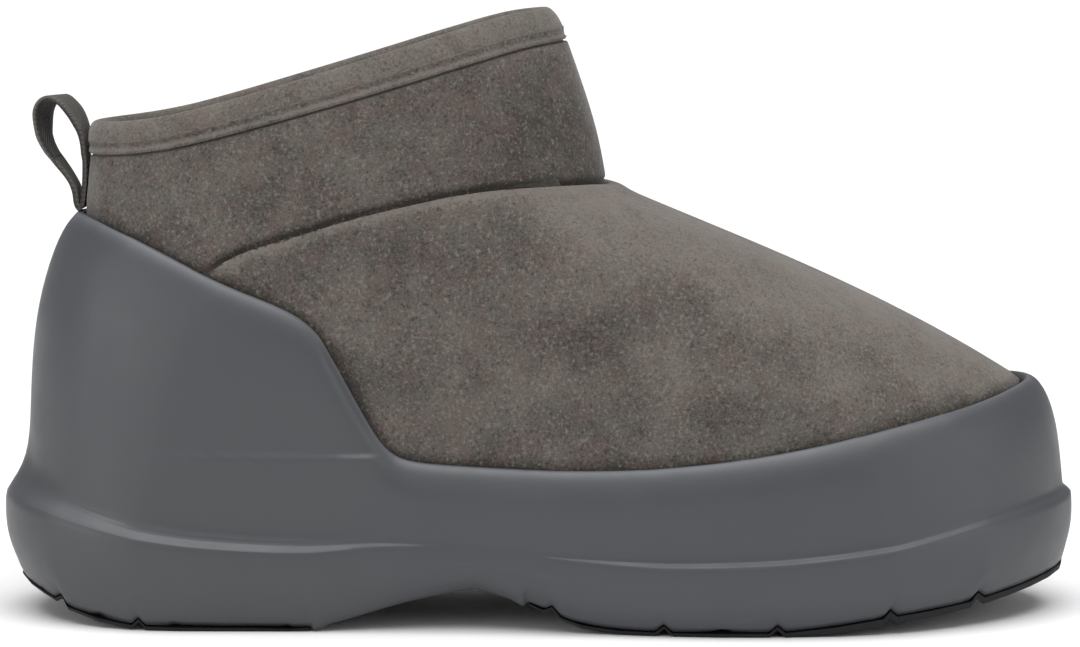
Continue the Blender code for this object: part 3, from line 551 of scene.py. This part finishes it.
def woven_strap(colours):
    """Polyester strap in a twill weave: slanting ribs of thread, a little lighter along its edges, with
    painted shade on the faces inside the loop.
    """
    material, tree, shader = new_material(
        "woven_strap", 0.85, Specular_IOR_Level=0.25, Sheen_Weight=0.15, Sheen_Roughness=0.4)
    way = add_node(tree, "ShaderNodeAttribute", {"attribute_name": "strap_way"}).outputs["Vector"]
    parts = add_node(tree, "ShaderNodeSeparateXYZ", {}, {"Vector": way})
    # Twill ribs 1.0 mm apart, really 0.5 mm, drawn coarser so that they show
    turned = add_node(tree, "ShaderNodeMapping", {"vector_type": "POINT"}, {
        "Vector": way, "Rotation": (0.0, 0.0, math.radians(38.0))})
    twill = add_node(tree, "ShaderNodeTexWave", {"wave_type": "BANDS", "bands_direction": "X"}, {
        "Vector": turned.outputs["Vector"], "Scale": 2 * math.pi / 0.0010 / 20, "Distortion": 0.0})
    fuzz = add_node(tree, "ShaderNodeTexNoise", {}, {"Vector": way, "Scale": 1500.0, "Detail": 2.0})
    edge = add_node(tree, "ShaderNodeMath", {"operation": "ABSOLUTE"}, {0: parts.outputs["Y"]})
    rim = add_node(tree, "ShaderNodeMapRange", {}, {
        "Value": edge.outputs[0], "From Min": 0.0036, "From Max": 0.0045, "To Min": 0.0, "To Max": 0.8})
    mixed = add_node(tree, "ShaderNodeMath", {"operation": "MULTIPLY_ADD"}, {
        0: twill.outputs["Fac"], 1: 0.45, 2: 0.2})
    noisy = add_node(tree, "ShaderNodeMath", {"operation": "MULTIPLY_ADD"}, {
        0: fuzz.outputs["Fac"], 1: 0.4, 2: mixed.outputs[0]})
    share = add_node(tree, "ShaderNodeMath", {"operation": "ADD", "use_clamp": True}, {
        0: noisy.outputs[0], 1: rim.outputs["Result"]})
    # Painted shade on the faces that look into the loop
    shaded_inside = add_node(tree, "ShaderNodeMath", {"operation": "MULTIPLY_ADD", "use_clamp": True}, {
        0: parts.outputs["Z"], 1: -0.9, 2: share.outputs[0]})
    base = add_node(tree, "ShaderNodeMix", {"data_type": "RGBA"}, {
        "Factor": shaded_inside.outputs[0], "A": opaque(colours.strap_dark), "B": opaque(colours.strap)})
    tree.links.new(base.outputs["Result"], shader.inputs["Base Color"])
    woven = add_node(tree, "ShaderNodeBump", {}, {
        "Strength": 0.7, "Distance": 0.0003, "Height": twill.outputs["Fac"]})
    tree.links.new(woven.outputs["Normal"], shader.inputs["Normal"])
    return material


def pile_textile(name, colour, size):
    """Short brushed pile: matt, with tufts of the given size."""
    material, tree, shader = new_material(name, 0.95, Specular_IOR_Level=0.1, Sheen_Weight=0.25)
    where = add_node(tree, "ShaderNodeTexCoord").outputs["Object"]
    tufts = add_node(tree, "ShaderNodeTexNoise", {}, {
        "Vector": where, "Scale": 1 / size, "Detail": 3.0, "Roughness": 0.65})
    shade = add_node(tree, "ShaderNodeMapRange", {}, {
        "Value": tufts.outputs["Fac"], "From Min": 0.3, "From Max": 0.7, "To Min": 0.65, "To Max": 1.3})
    base = add_node(tree, "ShaderNodeMix", {"data_type": "RGBA", "blend_type": "MULTIPLY"}, {
        "Factor": 1.0, "A": opaque(colour), "B": shade.outputs["Result"]})
    tree.links.new(base.outputs["Result"], shader.inputs["Base Color"])
    raised = add_node(tree, "ShaderNodeBump", {}, {
        "Strength": 0.8, "Distance": size * 0.6, "Height": tufts.outputs["Fac"]})
    tree.links.new(raised.outputs["Normal"], shader.inputs["Normal"])
    return material


def spun_thread(colours):
    """Bonded polyester sewing thread: slightly glossy, with a slow twist in its colour."""
    material, tree, shader = new_material("sewing_thread", 0.6, Specular_IOR_Level=0.3)
    where = add_node(tree, "ShaderNodeTexCoord").outputs["Object"]
    fuzz = add_node(tree, "ShaderNodeTexNoise", {}, {"Vector": where, "Scale": 2500.0, "Detail": 1.0})
    shade = add_node(tree, "ShaderNodeMapRange", {}, {
        "Value": fuzz.outputs["Fac"], "From Min": 0.3, "From Max": 0.7, "To Min": 0.8, "To Max": 1.1})
    base = add_node(tree, "ShaderNodeMix", {"data_type": "RGBA", "blend_type": "MULTIPLY"}, {
        "Factor": 1.0, "A": opaque(colours.thread), "B": shade.outputs["Result"]})
    tree.links.new(base.outputs["Result"], shader.inputs["Base Color"])
    return material


def finish_piece(piece, node, materials):
    """Gives the piece its materials and its body, and hides the node it stands for."""
    for material in materials:
        piece.data.materials.append(material)
    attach(piece, "root")
    if node:
        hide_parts(node)


def shared_suede(colours):
    """The suede, made once for the collar band and the upper."""
    return bpy.data.materials.get("brushed_suede") or brushed_suede(colours)


class BOOT_OT_cup_sole(Operator):
    """Moulded foam cup with soft lips, ledges and the step of the counter's wing"""

    bl_idname = "boot.cup_sole"
    bl_label = "Cup sole"

    def execute(self, context):
        sizes = context.scene.boot_sizes
        piece = start_from_node("midsole", "cup_sole")
        lines = sharp_lines(piece, 25)
        ledge = min((line for line in lines if line[:, 0].max() < -0.02 and line[:, 2].mean() > 0.02),
                    key=lambda line: line[:, 2].mean())
        # Edges that bend by over 20 degrees stay half crisp, those over 42 degrees nearly crisp
        for degrees in (20, 42):
            crease_sharp_edges(piece, degrees, 0.45, below=CRISP_BELOW)
        smooth(piece, sizes.smoothness)
        places, normals = points_of(piece)
        x, y, z = places.T
        side = normals[:, 1] * np.sign(y) > 0.5
        _, _, nearest = off_line(places, ledge)
        rise = z - nearest[:, 2]
        # Smaller faces just above the heel's ledge and beside the step under the wing
        by_ledge = (x < -0.028) & (rise > -0.0005) & (rise < 0.0085)
        by_wing = (x > -0.115) & (x < -0.030) & (z > 0.043) & (z < 0.056)
        refine(piece, side & (by_ledge | by_wing), 2)
        places, normals = points_of(piece)
        x, y, z = places.T
        _, _, nearest = off_line(places, ledge)
        rise = z - nearest[:, 2]
        side = np.clip(normals[:, 1] * np.sign(y), 0, 1)
        flared = span(x, *LEDGE_FLARE_SPAN) * side
        shape = sizes.ledge_flare * flared * hump(rise - 0.0023, 0.0015) * (rise > 0)
        height = z - sizes.wing_height
        stepped = span(x, *WING_SPAN) * side
        above = ease(0.5 + height / 0.0016)
        shape += sizes.wing_step * stepped * hump(height, 0.009) * (0.4 - above)
        # Painted highlight on the lip, on the ledge and on the step, where they catch the light
        off = off_surface(places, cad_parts["upper"])
        away = ease(0.2 - 3 * toward_hollow(places, normals)) * (z > 0.040)
        pale = hump(off - 0.0019, 0.0011) * away
        pale += 0.45 * hump(rise - 0.0012, 0.0020) * span(x, *LEDGE_PALE_SPAN) * (rise > 0)
        pale += 0.30 * hump(height - 0.0004, 0.0008) * stepped
        keep_value(piece, "lip", pale)
        places += normals * shape[:, None]
        # The foam comes down over the rubber's side and stays off the floor
        places[:, 2] = np.maximum(places[:, 2] - over_rubber(points_of(piece)[0], sizes), OFF_FLOOR)
        put_points(piece, places)
        finish_piece(piece, "midsole", [moulded_foam(context.scene.boot_colours)])
        return {"FINISHED"}


class BOOT_OT_outsole_pods(Operator):
    """Rubber pods under the heel and the forefoot"""

    bl_idname = "boot.outsole_pods"
    bl_label = "Outsole pods"

    def execute(self, context):
        sizes = context.scene.boot_sizes
        rubber = outsole_rubber(context.scene.boot_colours)
        for node, name in PODS:
            piece = start_from_node(node, name)
            places, _ = points_of(piece)
            off = off_surface(places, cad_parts["midsole"])
            # Only the top, which lies against the foam, is lowered
            places[:, 2] -= rubber_drop(places[:, 0], sizes) * (off < 0.0006)
            put_points(piece, places)
            only(piece)
            bpy.ops.object.modifier_add(type="BEVEL")
            modifier = piece.modifiers[-1]
            modifier.width = 0.0002
            modifier.segments = 2
            modifier.limit_method = "ANGLE"
            modifier.angle_limit = math.radians(35)
            bpy.ops.object.modifier_apply(modifier=modifier.name)
            bpy.ops.object.shade_smooth_by_angle(angle=math.radians(40))
            finish_piece(piece, node, [rubber])
        return {"FINISHED"}


class BOOT_OT_suede_upper(Operator):
    """Suede vamp and shaft with a puffed top seam, soft waves and a lining inside"""

    bl_idname = "boot.suede_upper"
    bl_label = "Suede upper"

    def execute(self, context):
        sizes = context.scene.boot_sizes
        colours = context.scene.boot_colours
        piece = start_from_node("upper", "suede_upper")
        seams = [line for line in sharp_lines(piece, 40) if SEAM_LOW < line[:, 2].mean() < SEAM_HIGH]
        seam = outer_edge(seams[0], UPPER_CENTRE)
        crease_sharp_edges(piece, 40, 0.8)
        smooth(piece, sizes.smoothness)
        places, normals = points_of(piece)
        outer = facing_out(places, normals, UPPER_CENTRE, LEVEL_TOO)
        off, _, _ = off_line(places, seam)
        refine(piece, (off < SEAM_REACH) & (outer > 0.2), 2)
        places, normals = points_of(piece)
        x, _, z = places.T
        outer = facing_out(places, normals, UPPER_CENTRE, LEVEL_TOO) * (z > 0.07)
        off, _, nearest = off_line(places, seam)
        inward = (UPPER_CENTRE - nearest)[:, :2]
        inward /= np.linalg.norm(inward, axis=1, keepdims=True)
        gone = places - nearest
        # How far above the seam each place is, less than zero below it
        above = np.where(gone[:, 2] + (gone[:, :2] * inward).sum(axis=1) > 0, off, -off)
        skin = ease(0.5 - 3 * toward_hollow(places, normals)) * ease((z - 0.045) / 0.010)
        ends = ease((x + 0.094) / 0.010)
        puff = sizes.seam_puff * hump(above + 0.0030, 0.0030) * ease(0.3 - above / 0.0008)
        dip = sizes.seam_depth * hump(above - 0.0010, 0.0008) * ease(above / 0.0005)
        folds = sizes.crease_strength * creased(places) * ease((off - 0.0015) / 0.004)
        cup = off_surface(places, bpy.data.objects["cup_sole"])
        covered = np.minimum(cup, off_surface(places, bpy.data.objects["collar_band_suede"]))
        # The hidden lower edge is drawn back more and raised, clear of the cup's rounded inside
        foot = ease((0.036 - z) / 0.006)
        drawn = sizes.clearance * (1 + 2 * foot) * hump(covered, 0.0006)
        places += normals * (outer * ends * (puff - dip) + skin * folds - drawn)[:, None]
        places[:, 2] += 0.0022 * foot
        put_points(piece, places)
        # Painted shade in the dip, fading up the shaft and darker at its front; painted highlight on the
        # vamp's folded edge
        shade = -0.75 * hump(above - 0.0004, 0.0011) * ease(above / 0.0004 + 0.6)
        shade -= 0.22 * hump(above, 0.0045) * (above > 0)
        shade += 0.34 * hump(above + 0.0010, 0.0013) * ease(-above / 0.0005)
        shade -= 0.14 * ease((x + 0.035) / 0.040) * (above > 0)
        shade *= ends * (outer > 0.1)
        # Painted shade beside the cup, a little darker on the shaft, painted light where the suede looks up
        # or a crease is raised and painted shade where one sinks
        shade -= 0.45 * hump(cup, 0.0022)
        shade -= 0.06 * ease((z - 0.112) / 0.015)
        shade += 0.40 * ease((normals[:, 2] - 0.15) / 0.7) + CREASE_LIGHT_PER_METRE * folds
        keep_value(piece, "nap_tone_and_painted_light", np.minimum(shade, LIGHTEST_NAP_AND_LIGHT))
        pile = pile_textile("lining_pile", colours.lining, 0.0012)
        finish_piece(piece, "upper", [shared_suede(colours), pile])
        # Faces that look at the hollow are the lining, and so are the few in the dip that look inward, whose
        # dark pile stands in as painted shade in the groove
        faces = piece.data.polygons
        middles = np.array([face.center[:] for face in faces])
        looks = np.array([face.normal[:] for face in faces])
        inside = toward_hollow(middles, looks) > 0.15
        faces.foreach_set("material_index", inside.astype(np.int32))
        return {"FINISHED"}


def sew(places, sizes, colours):
    """One row of stitches: a stitch is shaped once and copied to every place."""
    bpy.ops.object.select_all(action="DESELECT")
    bpy.ops.mesh.primitive_uv_sphere_add(segments=8, ring_count=7, radius=0.5, location=(0, 0, 0))
    first = bpy.context.active_object
    bpy.ops.object.mode_set(mode="EDIT")
    bpy.ops.mesh.select_all(action="SELECT")
    bpy.ops.transform.rotate(value=math.pi / 2, orient_axis="Y", center_override=(0, 0, 0))
    bpy.ops.transform.resize(
        value=(sizes.stitch_length, sizes.thread_width, sizes.thread_width), center_override=(0, 0, 0))
    bpy.ops.object.mode_set(mode="OBJECT")
    bpy.ops.object.shade_smooth()
    copies = []
    for place in places:
        stitch = first.copy()
        stitch.data = first.data.copy()
        stitch.data.transform(place)
        bpy.context.scene.collection.objects.link(stitch)
        copies.append(stitch)
    bpy.data.objects.remove(first)
    only(copies[0])
    for stitch in copies:
        stitch.select_set(True)
    bpy.ops.object.join()
    row = bpy.context.active_object
    row.name = "collar_stitches"
    finish_piece(row, None, [spun_thread(colours)])


class BOOT_OT_collar_band(Operator):
    """Suede band folded over the rim, with a pressed hem and a groove of stitches"""

    bl_idname = "boot.collar_band"
    bl_label = "Collar band"

    def execute(self, context):
        sizes = context.scene.boot_sizes
        colours = context.scene.boot_colours
        piece = start_from_node("collar_band", "collar_band_suede")
        rings = sharp_lines(piece, 60)
        hem, rim = rings[0], rings[2]
        crease_sharp_edges(piece, 60, 0.3)
        smooth(piece, 3)
        places, normals = points_of(piece)
        middle = hem.mean(axis=0)
        outer = facing_out(places, normals, middle)
        off, run, _ = off_line(places, hem)
        needle = hump((run / sizes.stitch_spacing + 0.5) % 1 - 0.5, 0.16)
        groove = hump(off - sizes.hem_height, 0.0007)
        front = ease((places[:, 0] + 0.020) / 0.020)
        # The hem is pressed flat, with a faint swell above it and a groove that the stitches pull in
        press = sizes.hem_press * hump(off - 0.0012, 0.0014) * (1 + 0.5 * front)
        swell = 0.0002 * hump(off - 0.0065, 0.0020)
        pull = sizes.groove_depth * groove * (0.7 + 0.5 * needle) * (1 - 0.8 * front)
        places -= normals * (outer * (press - swell + pull))[:, None]
        put_points(piece, places)
        # Painted highlight on the hem's ridge, painted shade at its edge and in the groove, and the whole
        # band a little lighter
        ridge = 0.25 * hump(off - 0.0012, 0.0008)
        shade = 0.50 * hump(off, 0.0004) + 0.50 * groove * (0.5 + 0.5 * needle)
        keep_value(piece, "nap_tone_and_painted_light", 0.22 + outer * (ridge - shade))
        tree = surface_tree(piece)
        marks = evenly(hem, sizes.stitch_spacing)[:-1]
        _, _, above = off_line(marks, rim)
        stitches = []
        for number, mark in enumerate(marks):
            up = Vector(above[number] - mark).normalized()
            ahead = Vector(marks[(number + 1) % len(marks)] - marks[number - 1]).normalized()
            away = up.cross(ahead)
            if away.dot(Vector(mark - middle)) < 0:
                away = -away
            middle_of_stitch = Vector(mark) + ahead * sizes.stitch_spacing / 2 + up * sizes.hem_height
            place, normal, _, _ = tree.find_nearest(middle_of_stitch + away * 0.003)
            side = normal.cross(ahead).normalized()
            ahead = side.cross(normal).normalized()
            turn = Matrix((ahead, side, normal)).transposed().to_4x4()
            stitches.append(Matrix.Translation(place + normal * sizes.thread_width * 0.05) @ turn)
        sew(stitches, sizes, colours)
        finish_piece(piece, "collar_band", [shared_suede(colours)])
        return {"FINISHED"}


class BOOT_OT_insole_pad(Operator):
    """Felted pad on the footbed"""

    bl_idname = "boot.insole_pad"
    bl_label = "Insole pad"

    def execute(self, context):
        piece = start_from_node("insole", "insole_pad")
        crease_sharp_edges(piece, 50, 0.6)
        smooth(piece, 2)
        felt = pile_textile("felted_pad", context.scene.boot_colours.felt, 0.0010)
        finish_piece(piece, "insole", [felt])
        return {"FINISHED"}


class BOOT_OT_pull_strap(Operator):
    """Woven strap of the pull loop, with rounded edges"""

    bl_idname = "boot.pull_strap"
    bl_label = "Pull strap"

    def execute(self, context):
        piece = start_from_node("pull_loop", "pull_strap")
        crease_sharp_edges(piece, 60, 0.75)
        smooth(piece, 2)
        places, normals = points_of(piece)
        low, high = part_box("pull_loop")
        x, y, z = places.T
        # Middle and radius of the bend at the loop's top
        centre_x = low.x + 0.0058
        centre_z = high.z - 0.0062
        radius = 0.0052
        to_centre = np.column_stack([centre_x - x, 0 * x, np.where(z > centre_z, centre_z - z, 0)])
        to_centre /= np.linalg.norm(to_centre, axis=1, keepdims=True)
        inner = ease(0.5 + 2 * (to_centre * normals).sum(axis=1))
        angle = np.arctan2(np.maximum(z - centre_z, 0), -(x - centre_x))
        # How far along the strap each place is, up the rear strand, over the bend and down the front one
        way = np.where(z > centre_z, angle * radius, np.where(x > centre_x, math.pi * radius, 0))
        way += np.where(z > centre_z, 0, np.where(x > centre_x, centre_z - z, z - centre_z))
        # How far along and across the strap each place is, and how much it looks into the loop, for the
        # material's painted shade
        layer = piece.data.attributes.new("strap_way", "FLOAT_VECTOR", "POINT")
        layer.data.foreach_set("vector", np.column_stack([way, y - 0.0003, inner]).ravel())
        # The front strand is drawn close to the shaft, the rest is opened out and turned a little more
        toward = np.interp(z - low.z, (0, 0.0075, 0.0135, 0.0155, 0.0215, 0.0300),
                           (0.0007, 0.0014, 0.0015, 0.0013, 0.0018, 0.0017))
        front = ease((x + 0.1305) / 0.0020)
        held = -0.1270
        opened = held + toward + (x - held) * 1.17 + 0.12 * y * ease((-0.1290 - x) / 0.006)
        opened += front * y * y / 0.060
        put_points(piece, np.column_stack([opened, y, high.z - (high.z - z) * 1.036]))
        finish_piece(piece, "pull_loop", [woven_strap(context.scene.boot_colours)])
        return {"FINISHED"}


class BOOT_OT_stage(Operator):
    """Plain pale floor, soft studio light and the camera"""

    bl_idname = "boot.stage"
    bl_label = "Stage"

    def execute(self, context):
        bpy.ops.object.select_all(action="DESELECT")
        bpy.ops.mesh.primitive_circle_add(vertices=96, radius=12.0, fill_type="NGON", location=(0, 0, 0))
        floor = context.active_object
        floor.name = "floor"
        material, tree, shader = new_material("pale_floor", 0.9, Specular_IOR_Level=0.1)
        shader.inputs["Base Color"].default_value = opaque(context.scene.boot_colours.floor)
        floor.data.materials.append(material)
        context.scene.view_settings.view_transform = "Standard"
        bpy.ops.object.light_add(type="SUN", location=(0.4, 0.3, 1.5))
        overhead = context.active_object
        overhead.name = "overhead"
        overhead.data.energy = 2.8
        overhead.data.angle = math.radians(60)
        overhead.rotation_euler = Vector((-0.02, 0.25, -1.0)).to_track_quat("-Z", "Y").to_euler()
        lights = (
            ("left", (-1.5, -1.0, 0.5), 1.2, 8.0),
            ("right", (1.5, -0.8, 0.5), 1.2, 5.0),
        )
        for name, place, size, power in lights:
            bpy.ops.object.light_add(type="AREA", location=place)
            lamp = context.active_object
            lamp.name = name
            lamp.data.shape = "DISK"
            lamp.data.size = size
            lamp.data.energy = power
            lamp.rotation_euler = (Vector((0, 0, 0.06)) - Vector(place)).to_track_quat("-Z", "Y").to_euler()
        world = bpy.data.worlds.new("studio")
        world.use_nodes = True
        context.scene.world = world
        sky = world.node_tree.nodes["Background"]
        sky.inputs["Color"].default_value = (1.0, 1.0, 1.0, 1.0)
        sky.inputs["Strength"].default_value = 0.36
        camera = bpy.data.objects.new("camera", bpy.data.cameras.new("camera"))
        context.scene.collection.objects.link(camera)
        camera.location = (0.0, -1.0, 0.195)
        camera.rotation_euler = (Vector((0, 0, 0.0797)) - camera.location).to_track_quat("-Z", "Y").to_euler()
        camera.data.sensor_width = 36.0
        camera.data.lens = 120.27
        camera.data.clip_start = 0.01
        context.scene.camera = camera
        return {"FINISHED"}


class BOOT_PT_panel(Panel):
    """Steps that dress the boot, in order"""

    bl_label = "Boot"
    bl_space_type = "VIEW_3D"
    bl_region_type = "UI"
    bl_category = "Boot"

    def draw(self, context):
        for step in STEPS:
            self.layout.operator(step.bl_idname)


STEPS = (
    BOOT_OT_cup_sole,
    BOOT_OT_outsole_pods,
    BOOT_OT_collar_band,
    BOOT_OT_suede_upper,
    BOOT_OT_insole_pad,
    BOOT_OT_pull_strap,
    BOOT_OT_stage,
)
CLASSES = (BootColours, BootSizes, *STEPS, BOOT_PT_panel)


def register():
    for cls in CLASSES:
        bpy.utils.register_class(cls)
    bpy.types.Scene.boot_colours = PointerProperty(type=BootColours)
    bpy.types.Scene.boot_sizes = PointerProperty(type=BootSizes)


def unregister():
    del bpy.types.Scene.boot_sizes
    del bpy.types.Scene.boot_colours
    for cls in reversed(CLASSES):
        bpy.utils.unregister_class(cls)


def main():
    register()
    bpy.ops.boot.cup_sole()
    bpy.ops.boot.outsole_pods()
    bpy.ops.boot.collar_band()
    bpy.ops.boot.suede_upper()
    bpy.ops.boot.insole_pad()
    bpy.ops.boot.pull_strap()
    bpy.ops.boot.stage()


if __name__ == "__main__":
    main()
